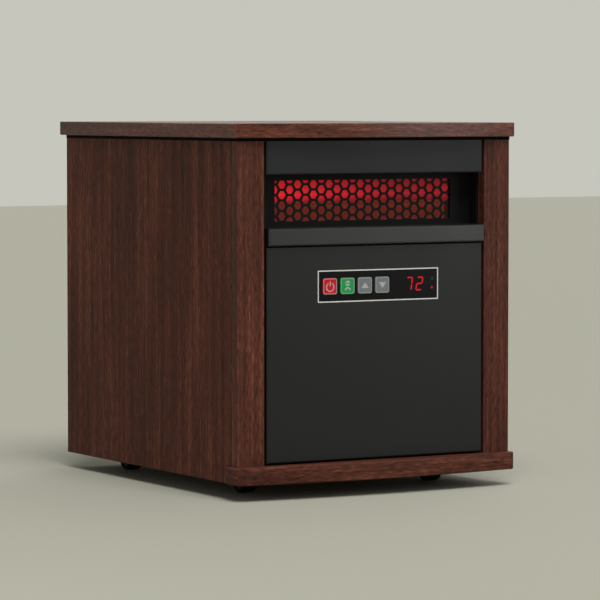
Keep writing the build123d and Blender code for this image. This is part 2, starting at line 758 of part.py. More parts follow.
# ---------------------------------------------------------------- electronics
def make_electronics():
    y0 = y_face + power_board_setback
    y1 = y0 + power_board_depth
    half = power_board_width / 2
    z = z_deck + standoff_height
    z_parts = z + circuit_board
    power_board = block(-half, half, y0, y1, z, z_parts)
    y_relay = y0 + relay_width
    for x in (relay_length - half, 3 * relay_length - half):
        relay = block(x, x + relay_length, y_relay, y_relay + relay_width, z_parts, z_parts + relay_width)
        power_board += relay
    x, y = half - relay_width, y1 - relay_width
    size = transformer_size
    power_board += block(x - size, x, y - size / 2, y, z_parts, z_parts + size)
    capacitor = Pos(relay_length - half, y1 - relay_length) * Circle(capacitor_radius)
    parts["power_board"] = power_board + upright(capacitor, z_parts, 2.5 * capacitor_radius)

    # hexagonal standoffs under the corners of the board
    inset = 2 * standoff_radius
    reach_x, reach_y = power_board_width - 2 * inset, power_board_depth - 2 * inset
    corners = Pos(0, (y0 + y1) / 2) * GridLocations(reach_x, reach_y, 2, 2)
    post = RegularPolygon(standoff_radius, 6)
    parts["board_standoffs"] = group([upright(corner * post, z_deck, standoff_height) for corner in corners])

    x_bush = bushing_spot()[0]
    y_block = y_bulkhead + 3 * bulkhead_flange
    step = terminal_height / 2
    section = polygon(
        (y_block, z_deck),
        (y_block + terminal_depth, z_deck),
        (y_block + terminal_depth, z_deck + step),
        (y_block + terminal_depth - step, z_deck + step),
        (y_block + terminal_depth - step, z_deck + terminal_height),
        (y_block + step / 2, z_deck + terminal_height),
        (y_block + step / 2, z_deck + step),
        (y_block, z_deck + step),
    )
    parts["terminal_block"] = from_left(section, x_bush, terminal_width)


# ---------------------------------------------------------------- casters
def make_casters():
    """Four swivel casters: plate with race and kingpin, fork with its axle, wheel."""
    z_axle = wheel_radius
    z_plate = z_caster - caster_plate
    z_fork = z_axle + wheel_radius + crown_clearance
    z_fork_top = z_fork + fork_top
    z_race = z_fork_top + side_gap
    leg_outer = wheel_width / 2 + 2 * side_gap + fork_sheet
    plates = []
    for place, (x, y) in caster_spots.items():
        # plate, eight-sided race and kingpin
        mount = upright(Pos(x, y) * Rectangle(caster_plate_size, caster_plate_size), z_plate, caster_plate)
        mount = chamfer(mount.edges().filter_by(Axis.Z), 2 * caster_plate)
        mount += upright(Pos(x, y) * RegularPolygon(race_radius, 8), z_race, z_plate - z_race)
        plates.append(mount + upright(Pos(x, y) * Circle(kingpin_radius), z_fork, z_race - z_fork))

        # fork: crown with chamfered corners and two legs that taper down to the axle
        crown = upright(Pos(x, y) * Rectangle(2 * leg_outer, 2 * leg_outer), z_fork, fork_top)
        crown = chamfer(crown.edges().filter_by(Axis.Z), leg_outer / 3)
        crown -= upright(Pos(x, y) * Circle(kingpin_radius + shaft_clearance), z_fork, fork_top)
        y_axle = y + caster_trail
        foot = fork_foot / 2
        leg = polygon(
            (y - leg_outer * 2 / 3, z_fork_top),
            (y + leg_outer * 2 / 3, z_fork_top),
            (y_axle + fork_foot, z_axle),
            (y_axle + foot, z_axle - fork_foot),
            (y_axle - foot, z_axle - fork_foot),
            (y_axle - fork_foot, z_axle),
        )
        right_leg = from_left(leg, x + leg_outer - fork_sheet, fork_sheet)
        left_leg = from_left(leg, x - leg_outer, fork_sheet)

        # axle riveted into the legs
        pin = from_left(Pos(y_axle, z_axle) * Circle(axle_radius), x - leg_outer, 2 * leg_outer)
        parts[f"caster_fork_{place}"] = crown + right_leg + left_leg + pin

        tread = Circle(wheel_radius) - Circle(axle_radius + shaft_clearance)
        wheel = from_left(Pos(y_axle, z_axle) * tread, x - wheel_width / 2, wheel_width)
        parts[f"caster_wheel_{place}"] = wheel
    parts["caster_plates"] = group(plates)


# ---------------------------------------------------------------- build and write
make_cabinet()
make_front_mouldings()
make_controls()
make_outlet()
make_duct()
make_core()
make_safety_parts()
make_fan()
make_back()
make_intake_cover()
make_electronics()
make_casters()

os.makedirs("parts", exist_ok=True)
for name, shape in parts.items():
    export_step(shape, f"parts/{name}.step")
print(len(parts), "nodes")
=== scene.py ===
"""Dresses the CAD frame of a portable cabinet heater.

A veneered cabinet on four casters, black moulded front, red glowing outlet behind a hexagonal
grille, printed controls with a digital display, louvred intake at the back.
"""

from math import cos, pi, radians, sin, sqrt, tan

import bmesh
import bpy
from mathutils import Euler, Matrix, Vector


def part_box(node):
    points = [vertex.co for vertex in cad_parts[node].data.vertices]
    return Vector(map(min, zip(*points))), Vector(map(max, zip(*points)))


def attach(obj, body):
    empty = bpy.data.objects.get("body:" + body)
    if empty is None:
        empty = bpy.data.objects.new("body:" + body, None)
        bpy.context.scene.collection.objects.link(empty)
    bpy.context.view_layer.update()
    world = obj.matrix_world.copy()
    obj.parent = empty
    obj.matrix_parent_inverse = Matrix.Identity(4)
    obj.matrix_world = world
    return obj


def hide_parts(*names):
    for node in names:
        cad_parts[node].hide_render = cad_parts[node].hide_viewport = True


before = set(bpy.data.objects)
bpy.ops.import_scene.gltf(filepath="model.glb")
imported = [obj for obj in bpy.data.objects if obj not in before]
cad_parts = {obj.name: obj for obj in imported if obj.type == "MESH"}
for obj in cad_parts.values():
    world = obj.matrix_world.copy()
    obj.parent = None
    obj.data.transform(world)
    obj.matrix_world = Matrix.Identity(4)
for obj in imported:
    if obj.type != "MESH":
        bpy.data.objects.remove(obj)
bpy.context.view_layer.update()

bl_info = {
    "name": "Cabinet heater dressing",
    "version": (1, 0, 0),
    "blender": (4, 5, 0),
    "location": "View3D > Sidebar > Heater",
    "description": "Gives the CAD frame of a portable cabinet heater its materials and fine pieces",
    "category": "Object",
}

MM = 0.001
CASTERS = ("front_left", "front_right", "rear_left", "rear_right")
SMOOTH_ANGLE = radians(35)     # edges with a wider turn than this stay sharp
PRINT_THICKNESS = 0.06 * MM    # printed inks and films that lie on a surface

# A Mix node has two inputs and one output for each kind of data.
NUMBER_A, NUMBER_B, NUMBER_OUT = 2, 3, 0
VECTOR_A, VECTOR_B, VECTOR_OUT = 4, 5, 1
COLOUR_A, COLOUR_B, COLOUR_OUT = 6, 7, 2


# ------------------------------------------------------------------ colours and nodes
def linear(code):
    """sRGB hex colour as linear RGBA."""
    channels = [int(code[i:i + 2], 16) / 255 for i in (0, 2, 4)]
    return [c / 12.92 if c <= 0.04045 else ((c + 0.055) / 1.055) ** 2.4 for c in channels] + [1.0]


def shaded(colour, factor):
    """Linear colour made darker or paler."""
    return [min(1.0, channel * factor) for channel in colour[:3]] + [1.0]


def grey(level):
    """Linear grey."""
    return (level, level, level, 1)


def add(tree, kind, links=None, stops=None, **settings):
    """Add a node with its settings; links maps an input to a value or to another node's output.

    Inputs go by name, or by place where several share one name. Stops are a colour ramp's.
    """
    node = tree.nodes.new("ShaderNode" + kind)
    for name, value in settings.items():
        setattr(node, name, value)
    for key, value in (links or {}).items():
        if isinstance(value, bpy.types.NodeSocket):
            tree.links.new(value, node.inputs[key])
        else:
            node.inputs[key].default_value = value
    if stops:
        ramp = node.color_ramp.elements
        while len(ramp) < len(stops):
            ramp.new(0.5)
        for element, (position, colour) in zip(ramp, stops):
            element.position = position
            element.color = colour
    return node


def new_material(name):
    """Material, its node tree and the place on the piece, which the patterns follow."""
    material = bpy.data.materials.new(name)
    material.use_nodes = True
    tree = material.node_tree
    tree.nodes.clear()
    return material, tree, add(tree, "TexCoord").outputs["Object"]


def finish_material(material, tree, surface):
    """Join a shader with these surface values to the material's output."""
    shader = add(tree, "BsdfPrincipled", surface)
    add(tree, "OutputMaterial", {"Surface": shader.outputs[0]})
    return material


def per_mm(size):
    """Texture scale whose features are about this many millimetres wide."""
    return 1 / (size * MM)


def mottled(tree, place, colour, size, factor, detail=2.0, roughness=0.5):
    """Colour that noise of a size in millimetres makes darker or paler by a factor, and the noise."""
    noise = add(tree, "TexNoise", {"Vector": place, "Scale": per_mm(size), "Detail": detail,
                                   "Roughness": roughness})
    tint = add(tree, "Mix", {"Factor": noise.outputs["Fac"], COLOUR_A: colour,
                             COLOUR_B: shaded(colour, factor)}, data_type="RGBA")
    return tint.outputs[COLOUR_OUT], noise.outputs["Fac"]


# ------------------------------------------------------------------ materials
def veneer(name, grain_axis, tone_and_painted_light, shift, sheen, gloss=0.0):
    """Walnut veneer, sliced, stained dark red and sprayed with satin lacquer.

    The slicing leaves fine broken streaks along the board over soft broad bands, the stain darkens
    the pores into short dashes, and the lacquer leaves an even sheen. The brightness setting makes a
    board paler or darker, partly its own tone and partly painted light and painted shade, so the
    boards are lit and shaded copies of one veneer. Shift gives each board its own run of the grain.
    """
    look = bpy.context.scene.heater_veneer
    material, tree, place = new_material(name)
    if grain_axis == "X":
        place = grain_round_ends(tree, place)
    marks = (                  # width and length of a mark in millimetres, detail, share of the tone
        (look.streak_width / MM, 240, 3.0, 0.34),
        (10, 200, 2.0, 0.24),
        (48, 300, 2.0, 0.28),
        (2.0, 12, 3.0, 0.40),
    )
    pores = (1.6, 9, 2.0)      # width and length of a pore in millimetres, detail
    layers = []
    for width, length, detail in [mark[:3] for mark in marks] + [pores]:
        scale = [1.0, 1.0, 1.0]
        scale["XYZ".index(grain_axis)] = width / length
        mapping = add(tree, "Mapping", {"Vector": place, "Scale": scale, "Location": [shift] * 3})
        noise = add(tree, "TexNoise", {"Vector": mapping.outputs["Vector"], "Scale": per_mm(width),
                                       "Detail": detail, "Roughness": 0.6})
        layers.append(noise.outputs["Fac"])
    level = 0.0
    for layer, (*_, share) in zip(layers, marks):
        level = add(tree, "Math", {0: layer, 1: share, 2: level}, operation="MULTIPLY_ADD").outputs[0]
    tone = add(tree, "ValToRGB", {"Fac": level}, stops=[
        (0.51, look.dark), (0.595, look.middle), (0.663, look.red), (0.75, look.light)])
    pore_mask = add(tree, "ValToRGB", {"Fac": layers[-1]}, stops=[
        (0.36, (0.62, 0.60, 0.60, 1)), (0.45, grey(1))])
    stained = add(tree, "Mix", {"Factor": 1.0, COLOUR_A: tone.outputs["Color"],
                                COLOUR_B: pore_mask.outputs["Color"]},
                  data_type="RGBA", blend_type="MULTIPLY")
    lifted = add(tree, "HueSaturation", {"Color": stained.outputs[COLOUR_OUT], "Value": tone_and_painted_light,
                                         "Saturation": 0.95})
    satin = look.sheen_roughness - gloss
    rough = add(tree, "MapRange", {"Value": layers[0], "To Min": satin + 0.06, "To Max": satin - 0.04})
    bump = add(tree, "Bump", {"Height": pore_mask.outputs["Color"], "Strength": 0.12,
                              "Distance": 0.08 * MM})
    return finish_material(material, tree, {
        "Base Color": lifted.outputs["Color"], "Roughness": rough.outputs[0],
        "Normal": bump.outputs["Normal"], "IOR": 1.48, "Specular IOR Level": sheen})


def grain_round_ends(tree, place):
    """Place whose X and Y change over on a board's ends, so that the edge veneer runs along them."""
    facing = add(tree, "SeparateXYZ", {"Vector": place.node.outputs["Normal"]})
    sideways = add(tree, "Math", {0: facing.outputs["X"]}, operation="ABSOLUTE")
    on_end = add(tree, "Math", {0: sideways.outputs[0], 1: 0.7}, operation="GREATER_THAN")
    axes = add(tree, "SeparateXYZ", {"Vector": place})
    turned = add(tree, "CombineXYZ", {"X": axes.outputs["Y"], "Y": axes.outputs["X"],
                                      "Z": axes.outputs["Z"]})
    return add(tree, "Mix", {"Factor": on_end.outputs[0], VECTOR_A: place, VECTOR_B: turned.outputs[0]},
               data_type="VECTOR").outputs[VECTOR_OUT]


def moulded_plastic(name, colour, roughness, grain=0.5, depth=0.03, sheen=0.5):
    """Injection-moulded ABS or nylon with the fine spark grain of its mould.

    The grain breaks up the sheen, and slow changes in gloss follow the flow of the melt. The grain
    is drawn coarser than the real 0.1 mm so that it shows.
    """
    material, tree, place = new_material(name)
    tint, spark = mottled(tree, place, linear(colour), grain, 1.22, roughness=0.6)
    flow = add(tree, "TexNoise", {"Vector": place, "Scale": per_mm(70), "Detail": 2.0})
    rough = add(tree, "MapRange", {"Value": flow.outputs["Fac"], "From Min": 0.3, "From Max": 0.7,
                                   "To Min": roughness - 0.04, "To Max": roughness + 0.05})
    bump = add(tree, "Bump", {"Height": spark, "Strength": 0.25, "Distance": depth * MM})
    return finish_material(material, tree, {
        "Base Color": tint, "Roughness": rough.outputs[0],
        "Normal": bump.outputs["Normal"], "IOR": 1.53, "Specular IOR Level": sheen})


def sheet_metal(name, colour, roughness, cell, contrast=0.18):
    """Rolled steel or aluminium sheet with a plated skin.

    The plating gives grains of slightly different grey, and rolling leaves a soft, uneven gloss.
    """
    material, tree, place = new_material(name)
    spangle = add(tree, "TexVoronoi", {"Vector": place, "Scale": per_mm(cell)})
    level = add(tree, "SeparateColor", {"Color": spangle.outputs["Color"]})
    base = linear(colour)
    tint = add(tree, "Mix", {"Factor": level.outputs["Red"], COLOUR_A: base,
                             COLOUR_B: shaded(base, 1 - contrast)}, data_type="RGBA")
    rough = add(tree, "MapRange", {"Value": level.outputs["Green"], "To Min": roughness - 0.05,
                                   "To Max": roughness + 0.08})
    rolled = add(tree, "TexNoise", {"Vector": place, "Scale": per_mm(2.5), "Detail": 3.0})
    bump = add(tree, "Bump", {"Height": rolled.outputs["Fac"], "Strength": 0.1, "Distance": 0.05 * MM})
    return finish_material(material, tree, {
        "Base Color": tint.outputs[COLOUR_OUT], "Roughness": rough.outputs[0], "Metallic": 1.0,
        "Normal": bump.outputs["Normal"]})


def powder_coat(name, colour, roughness):
    """Steel sheet, punched and powder coated matt black.

    The powder melts into a faint orange peel, so highlights on the web are broad and weak.
    """
    material, tree, place = new_material(name)
    tint, peel = mottled(tree, place, linear(colour), 0.8, 1.6)
    bump = add(tree, "Bump", {"Height": peel, "Strength": 0.3, "Distance": 0.05 * MM})
    return finish_material(material, tree, {
        "Base Color": tint, "Roughness": roughness, "Normal": bump.outputs["Normal"],
        "Specular IOR Level": 0.12})


def lit_lens(name):
    """Red acrylic diffuser, extruded and frosted, lit from behind by a row of LEDs.

    The frosting evens the light out. The glow is strongest at the left, a quarter of the way up, and
    fades to the right, slowly to the top and quickly to the lower edge.
    """
    glow = bpy.context.scene.heater_glow
    material, tree, place = new_material(name)
    axes = add(tree, "SeparateXYZ", {"Vector": place})
    low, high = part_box("glow_lens")
    across = add(tree, "MapRange", {"Value": axes.outputs["X"], "From Min": low.x, "From Max": high.x})
    frost = add(tree, "TexNoise", {"Vector": place, "Scale": per_mm(9), "Detail": 2.0})
    uneven = add(tree, "Math", {0: frost.outputs["Fac"], 1: 0.22, 2: across.outputs[0]},
                 operation="MULTIPLY_ADD")
    colour = add(tree, "ValToRGB", {"Fac": uneven.outputs[0]}, stops=[
        (0.15, glow.bright), (0.6, glow.middle), (0.8, glow.faded)])
    upward = add(tree, "MapRange", {"Value": axes.outputs["Z"], "From Min": low.z, "From Max": high.z})
    row = add(tree, "ValToRGB", {"Fac": upward.outputs[0]}, stops=[
        (0.0, grey(0.34)), (0.26, grey(1)), (0.6, grey(0.66)), (1.0, grey(0.36))])
    light = add(tree, "Mix", {"Factor": 1.0, COLOUR_A: colour.outputs["Color"],
                              COLOUR_B: row.outputs["Color"]},
                data_type="RGBA", blend_type="MULTIPLY")
    return finish_material(material, tree, {
        "Base Color": linear("2A0608"), "Roughness": 0.5, "IOR": 1.49, "Specular IOR Level": 0.1,
        "Emission Color": light.outputs[COLOUR_OUT], "Emission Strength": glow.strength})


def painted_glow_surface(name, colour, painted_glow_colour, metallic, roughness):
    """Folded aluminium, fired ceramic or moulded ABS deep in the outlet, with a painted red glow.

    The emission is painted light: it stands in for the red light of the lens falling on them, and it
    stays darker than the lens. The dark base colours are painted shade on aluminium, ceramic and
    white plastic that are paler.
    """
    glow = bpy.context.scene.heater_glow
    material, tree, place = new_material(name)
    mottle = add(tree, "TexNoise", {"Vector": place, "Scale": per_mm(6), "Detail": 3.0})
    lens_light_paint = linear(painted_glow_colour)
    lens_light_mix = add(tree, "Mix", {"Factor": mottle.outputs["Fac"], COLOUR_A: shaded(lens_light_paint, 0.62),
                              COLOUR_B: lens_light_paint}, data_type="RGBA")
    rough = add(tree, "MapRange", {"Value": mottle.outputs["Fac"], "To Min": roughness - 0.06,
                                   "To Max": roughness + 0.06})
    return finish_material(material, tree, {
        "Base Color": linear(colour), "Metallic": metallic, "Roughness": rough.outputs[0],
        "Specular IOR Level": 0.1, "Emission Color": lens_light_mix.outputs[COLOUR_OUT],
        "Emission Strength": glow.painted_core_glow})


def printed_film(name, colour, roughness, sheen):
    """Polyester film, screen printed from behind: flat even colour under a smooth skin."""
    material, tree, place = new_material(name)
    tint, _ = mottled(tree, place, linear(colour), 1.4, 0.88)
    return finish_material(material, tree, {
        "Base Color": tint, "Roughness": roughness, "IOR": 1.57, "Specular IOR Level": sheen})


def cap_plastic(name, colour):
    """Silicone-coated ABS cap, moulded in colour: soft sheen with a faint mottle."""
    material, tree, place = new_material(name)
    tint, skin = mottled(tree, place, colour, 1.2, 0.85)
    bump = add(tree, "Bump", {"Height": skin, "Strength": 0.15, "Distance": 0.03 * MM})
    return finish_material(material, tree, {
        "Base Color": tint, "Roughness": 0.4, "IOR": 1.5, "Specular IOR Level": 0.1,
        "Normal": bump.outputs["Normal"]})


def lit_segment(name, colour, strength):
    """Moulded acrylic segment with a red LED behind it: a little uneven where it lights up."""
    material, tree, place = new_material(name)
    light, _ = mottled(tree, place, linear(colour), 1.6, 0.7, detail=1.0)
    return finish_material(material, tree, {
        "Base Color": linear("2A0406"), "Roughness": 0.4, "Specular IOR Level": 0.1,
        "Emission Color": light, "Emission Strength": strength})


def circuit_laminate(name):
    """Glass-epoxy circuit board, etched and covered with green solder resist.

    Tracks show through the resist as paler green lines, 2.5 mm apart one way and 8.4 mm the other.
    """
    material, tree, place = new_material(name)
    tracks = add(tree, "TexBrick", {"Vector": place, "Color1": linear("1E5A38"), "Color2": linear("1A4E31"),
                                    "Mortar": linear("2E7A4C"), "Scale": per_mm(14), "Mortar Size": 0.03,
                                    "Brick Width": 0.6, "Row Height": 0.18})
    bump = add(tree, "Bump", {"Height": tracks.outputs["Fac"], "Strength": 0.2, "Distance": 0.04 * MM})
    return finish_material(material, tree, {
        "Base Color": tracks.outputs["Color"], "Roughness": 0.32, "IOR": 1.5,
        "Normal": bump.outputs["Normal"]})


def laminated_steel(name):
    """Motor core: stacked silicon-steel laminations, varnished, with dark lines between them.

    The lines are drawn coarser than the real 0.5 mm so that they show.
    """
    material, tree, place = new_material(name)
    line_spacing = 7.54        # millimetres
    bands_at_scale_1 = 20 / (2 * pi)
    lines = add(tree, "TexWave", {"Vector": place, "Scale": per_mm(line_spacing) / bands_at_scale_1,
                                  "Distortion": 0.2}, wave_type="BANDS", bands_direction="Y")
    tint = add(tree, "Mix", {"Factor": lines.outputs["Fac"], COLOUR_A: linear("3B3C3F"),
                             COLOUR_B: linear("77797C")}, data_type="RGBA")
    bump = add(tree, "Bump", {"Height": lines.outputs["Fac"], "Strength": 0.4, "Distance": 0.1 * MM})
    return finish_material(material, tree, {
        "Base Color": tint.outputs[COLOUR_OUT], "Metallic": 0.9, "Roughness": 0.42,
        "Normal": bump.outputs["Normal"]})


def pale_floor(name):
    """Matt painted studio floor: even, pale, with a barely visible rolled texture."""
    material, tree, place = new_material(name)
    tint, _ = mottled(tree, place, bpy.context.scene.heater_stage.floor_colour, 12, 0.97, detail=3.0)
    return finish_material(material, tree, {"Base Color": tint, "Roughness": 0.85})


# ------------------------------------------------------------------ outlines, all in X and Z
def rounded_box(width, height, radius, steps=8):
    """Rounded rectangle round the origin, counter-clockwise."""
    points = []
    for corner in range(4):
        middle_x = (width / 2 - radius) * (1 if corner in (0, 3) else -1)
        middle_z = (height / 2 - radius) * (1 if corner in (0, 1) else -1)
        for step in range(steps + 1):
            turn = pi / 2 * (corner + step / steps)
            points.append((middle_x + radius * cos(turn), middle_z + radius * sin(turn)))
    return points


def arc(radius, start, end, steps=14):
    """Arc between two angles, in degrees; as an outline, it is a disc cut off by the arc's chord."""
    turns = [radians(start + (end - start) * step / steps) for step in range(steps + 1)]
    return [(radius * cos(turn), radius * sin(turn)) for turn in turns]


def arc_band(radius, width, start, end, steps=28):
    """Part of a ring between two angles, in degrees."""
    outer = arc(radius + width / 2, start, end, steps)
    inner = arc(radius - width / 2, start, end, steps)
    return outer + inner[::-1]


def disc(radius, steps=24):
    """Circle as an outline."""
    return arc(radius, 0, 360, steps)[:-1]


def moved(points, x, z):
    """The same outline round another point."""
    return [(px + x, pz + z) for px, pz in points]


# ------------------------------------------------------------------ mesh pieces
def add_prism(bm, outline, front, back, bevel=0.0):
    """Closed prism on an outline in X and Z, from y front to y back, with a bevelled front edge."""
    rings = [(front, bevel), (front + bevel, 0.0), (back, 0.0)] if bevel else [(front, 0.0), (back, 0.0)]
    layers = [[bm.verts.new((x, y, z)) for x, z in inset(outline, amount)] for y, amount in rings]
    bm.faces.new(layers[0])
    bm.faces.new(list(reversed(layers[-1])))
    for near, far in zip(layers, layers[1:]):
        join_rings(bm, near, far)


def inset(outline, amount):
    """Shrink a convex outline by moving every point along the bisector of its edges."""
    if not amount:
        return outline
    sharpest = 0.3             # keeps the point of a very sharp corner from running away
    result = []
    for before, here, after in zip(outline[-1:] + outline[:-1], outline, outline[1:] + outline[:1]):
        entering = (Vector(here) - Vector(before)).normalized()
        leaving = (Vector(after) - Vector(here)).normalized()
        inward = Vector((-entering.y, entering.x)) + Vector((-leaving.y, leaving.x))
        inward *= amount / max(sharpest, inward.length_squared / 2)
        result.append((here[0] + inward.x, here[1] + inward.y))
    return result


def join_rings(bm, near, far):
    """Quads between two closed rings of the same length."""
    for index in range(len(near)):
        after = (index + 1) % len(near)
        bm.faces.new((near[index], far[index], far[after], near[after]))


def add_frame(bm, outer, inner, front, back):
    """Closed flat frame between two outlines of the same length."""
    corners = [[bm.verts.new((x, y, z)) for x, z in outline]
               for y, outline in ((front, outer), (back, outer), (back, inner), (front, inner))]
    for near, far in zip(corners, corners[1:] + corners[:1]):
        join_rings(bm, near, far)


def print_shape(bm, outline, face):
    """Layer of ink or film on an outline, in front of the y of a face."""
    add_prism(bm, outline, face - PRINT_THICKNESS, face)


def print_frame(bm, outer, inner, face):
    """Layer of ink or film between two outlines, in front of the y of a face."""
    add_frame(bm, outer, inner, face - PRINT_THICKNESS, face)


def add_bar(bm, low, high):
    """Rectangular bar between two corners."""
    corners = [bm.verts.new((x, y, z)) for x in (low[0], high[0]) for y in (low[1], high[1])
               for z in (low[2], high[2])]
    for face in ((0, 1, 3, 2), (4, 6, 7, 5), (0, 4, 5, 1), (2, 3, 7, 6), (0, 2, 6, 4), (1, 5, 7, 3)):
        bm.faces.new([corners[index] for index in face])


def add_turned(bm, profile, centre, axis, steps):
    """Turned solid: the profile lists (distance along the axis, radius) from end to end."""
    axis = Vector(axis).normalized()
    across = axis.orthogonal().normalized()
    up = axis.cross(across)
    turns = [2 * pi * step / steps for step in range(steps)]
    spokes = [across * cos(turn) + up * sin(turn) for turn in turns]
    rings = []
    for distance, radius in profile:
        foot = Vector(centre) + axis * distance
        if not radius:
            rings.append([bm.verts.new(foot)])
            continue
        rings.append([bm.verts.new(foot + spoke * radius) for spoke in spokes])
    for near, far in zip(rings, rings[1:]):
        for step in range(steps):
            after = (step + 1) % steps
            corners = [near[step % len(near)], near[after % len(near)],
                       far[after % len(far)], far[step % len(far)]]
            bm.faces.new(list(dict.fromkeys(corners)))
    for ring in (rings[0], rings[-1]):
        if len(ring) > 1:
            bm.faces.new(ring)


def make_piece(name, bm, material, body, replaced=()):
    """Turn a bmesh into a piece that rides on a body."""
    bmesh.ops.recalc_face_normals(bm, faces=bm.faces)
    for face in bm.faces:
        face.smooth = True
    mesh = bpy.data.meshes.new(name)
    bm.to_mesh(mesh)
    bm.free()
    mesh.set_sharp_from_angle(angle=SMOOTH_ANGLE)
    mesh.materials.append(material)
    piece = bpy.data.objects.new(name, mesh)
    bpy.context.collection.objects.link(piece)
    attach(piece, body)
    if replaced:
        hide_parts(*replaced)


def clothe(material, *nodes):
    """Give CAD nodes their finished material."""
    for node in nodes:
        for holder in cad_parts[node].material_slots:
            holder.material = material


def middle_of(node):
    """Middle of a CAD node's box."""
    low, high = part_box(node)
    return (low + high) / 2


# ------------------------------------------------------------------ settings
def colour_setting(name, description, code):
    """Colour property whose default is an sRGB hex value."""
    return bpy.props.FloatVectorProperty(name=name, description=description, default=linear(code),
                                         size=4, min=0, max=1, subtype="COLOR")


def length_setting(name, description, millimetres):
    """Length property whose default is given in millimetres."""
    return bpy.props.FloatProperty(name=name, description=description, default=millimetres * MM,
                                   min=0, precision=5, unit="LENGTH", subtype="DISTANCE")


def angle_setting(name, description, degrees):
    """Angle property whose default is given in degrees."""
    return bpy.props.FloatProperty(name=name, description=description, default=radians(degrees),
                                   subtype="ANGLE")


def factor_setting(name, description, value, top=1.0):
    """Plain number from nothing to a top value."""
    return bpy.props.FloatProperty(name=name, description=description, default=value, min=0, max=top)


class HeaterVeneerSettings(bpy.types.PropertyGroup):
    dark: colour_setting("Dark", "Darkest bands of the stained veneer", "3B2119")
    middle: colour_setting("Middle", "Ground colour of the veneer", "4F2A1E")
    red: colour_setting("Red", "Reddest streaks of the veneer", "5F3022")
    light: colour_setting("Light", "Palest streaks of the veneer", "794534")
    streak_width: length_setting("Streak width", "Width of the fine streaks along the grain", 3.8)
    sheen_roughness: factor_setting("Sheen roughness", "Roughness of the satin lacquer", 0.45)


class HeaterMouldingSettings(bpy.types.PropertyGroup):
    roughness: factor_setting("Roughness", "Roughness of the satin black front", 0.42)
    sheen: factor_setting("Sheen", "Strength of the satin sheen", 0.2)


class HeaterControlSettings(bpy.types.PropertyGroup):
    cap_size: length_setting("Cap size", "Width and height of a button cap", 17.4)
    cap_corner: length_setting("Cap corner", "Corner radius of a button cap", 2.5)
    rim_width: length_setting("Rim width", "Width of the pale rim round each cap", 0.9)
    line_width: length_setting("Line width", "Width of the printed line round the control window", 1.2)
    digit_height: length_setting("Digit height", "Height of the display digits", 14.8)
    digit_width: length_setting("Digit width", "Width of the display digits", 8.2)
    digit_pitch: length_setting("Digit pitch", "Distance between the two digits", 12.9)
    digit_slant: angle_setting("Digit slant", "Lean of the digits", 8)
    stroke: length_setting("Stroke", "Width of a digit's segments", 1.4)
    power: colour_setting("Power colour", "Cap of the power button", "C81E2A")
    mode: colour_setting("Mode colour", "Cap of the mode button", "229A4C")
    step: colour_setting("Step colour", "Caps of the up and down buttons", "757A7C")


class HeaterGlowSettings(bpy.types.PropertyGroup):
    bright: colour_setting("Bright", "Glow at the left of the lens", "DC222B")
    middle: colour_setting("Middle", "Glow in the middle of the lens", "B31C26")
    faded: colour_setting("Faded", "Glow at the right of the lens", "951A21")
    strength: factor_setting("Strength", "Strength of the lens", 1.0, 10)
    # Strength of the painted red glow, which is painted light on the core and the light box
    painted_core_glow: factor_setting("Core strength", "Strength of the dull red in the heating core", 1.0, 10)
    fin_pitch: length_setting("Fin pitch", "Distance between two folds of the fins", 3.2)
    fin_sheet: length_setting("Fin sheet", "Thickness of the folded fins", 0.3)


class HeaterBackSettings(bpy.types.PropertyGroup):
    mesh_pitch: length_setting("Mesh pitch", "Distance between the strands of the filter mesh", 2.6)
    strand: length_setting("Strand", "Thickness of a strand", 0.7)
    screw_head: length_setting("Screw head", "Radius of the screw heads", 3.4)
    screw_inset: length_setting("Screw inset", "From the panel's edge to the screws", 7.5)


class HeaterCasterSettings(bpy.types.PropertyGroup):
    tread_round: length_setting("Tread round", "Radius of the rounded edges of the wheels", 3)
    hub_recess: length_setting("Hub recess", "Depth of the dished wheel faces", 1.6)


class HeaterStageSettings(bpy.types.PropertyGroup):
    floor_colour: colour_setting("Floor", "Colour of the pale floor", "A6A597")
    backdrop_colour: colour_setting("Backdrop", "Colour of the pale backdrop", "C6C6BC")
    key_strength: factor_setting("Key strength", "Strength of the main soft light", 2.9, 20)
    softbox_power: factor_setting("Softbox power", "Watts of the right softbox; the left has half", 3, 500)
    surround_strength: factor_setting("Surround", "Strength of the even surround on the object", 0.22, 5)
    camera_distance: length_setting("Camera distance", "Camera to the middle of the cabinet, in plan", 3762)
    camera_height: length_setting("Camera height", "Camera above the floor", 414.2)
    camera_turn: angle_setting("Camera turn", "From the front towards the left side", 29.85)
    camera_aim: angle_setting("Camera aim", "Turn of the camera's own axis from straight ahead", 30.09)
    camera_dip: angle_setting("Camera dip", "How far the camera looks down", 3.33)
    lens: factor_setting("Lens", "Focal length in millimetres on a 36 mm sensor", 204.8, 1000)


SETTINGS = {
    "heater_veneer": HeaterVeneerSettings,
    "heater_moulding": HeaterMouldingSettings,
    "heater_control": HeaterControlSettings,
    "heater_glow": HeaterGlowSettings,
    "heater_back": HeaterBackSettings,
    "heater_caster": HeaterCasterSettings,
    "heater_stage": HeaterStageSettings,
}


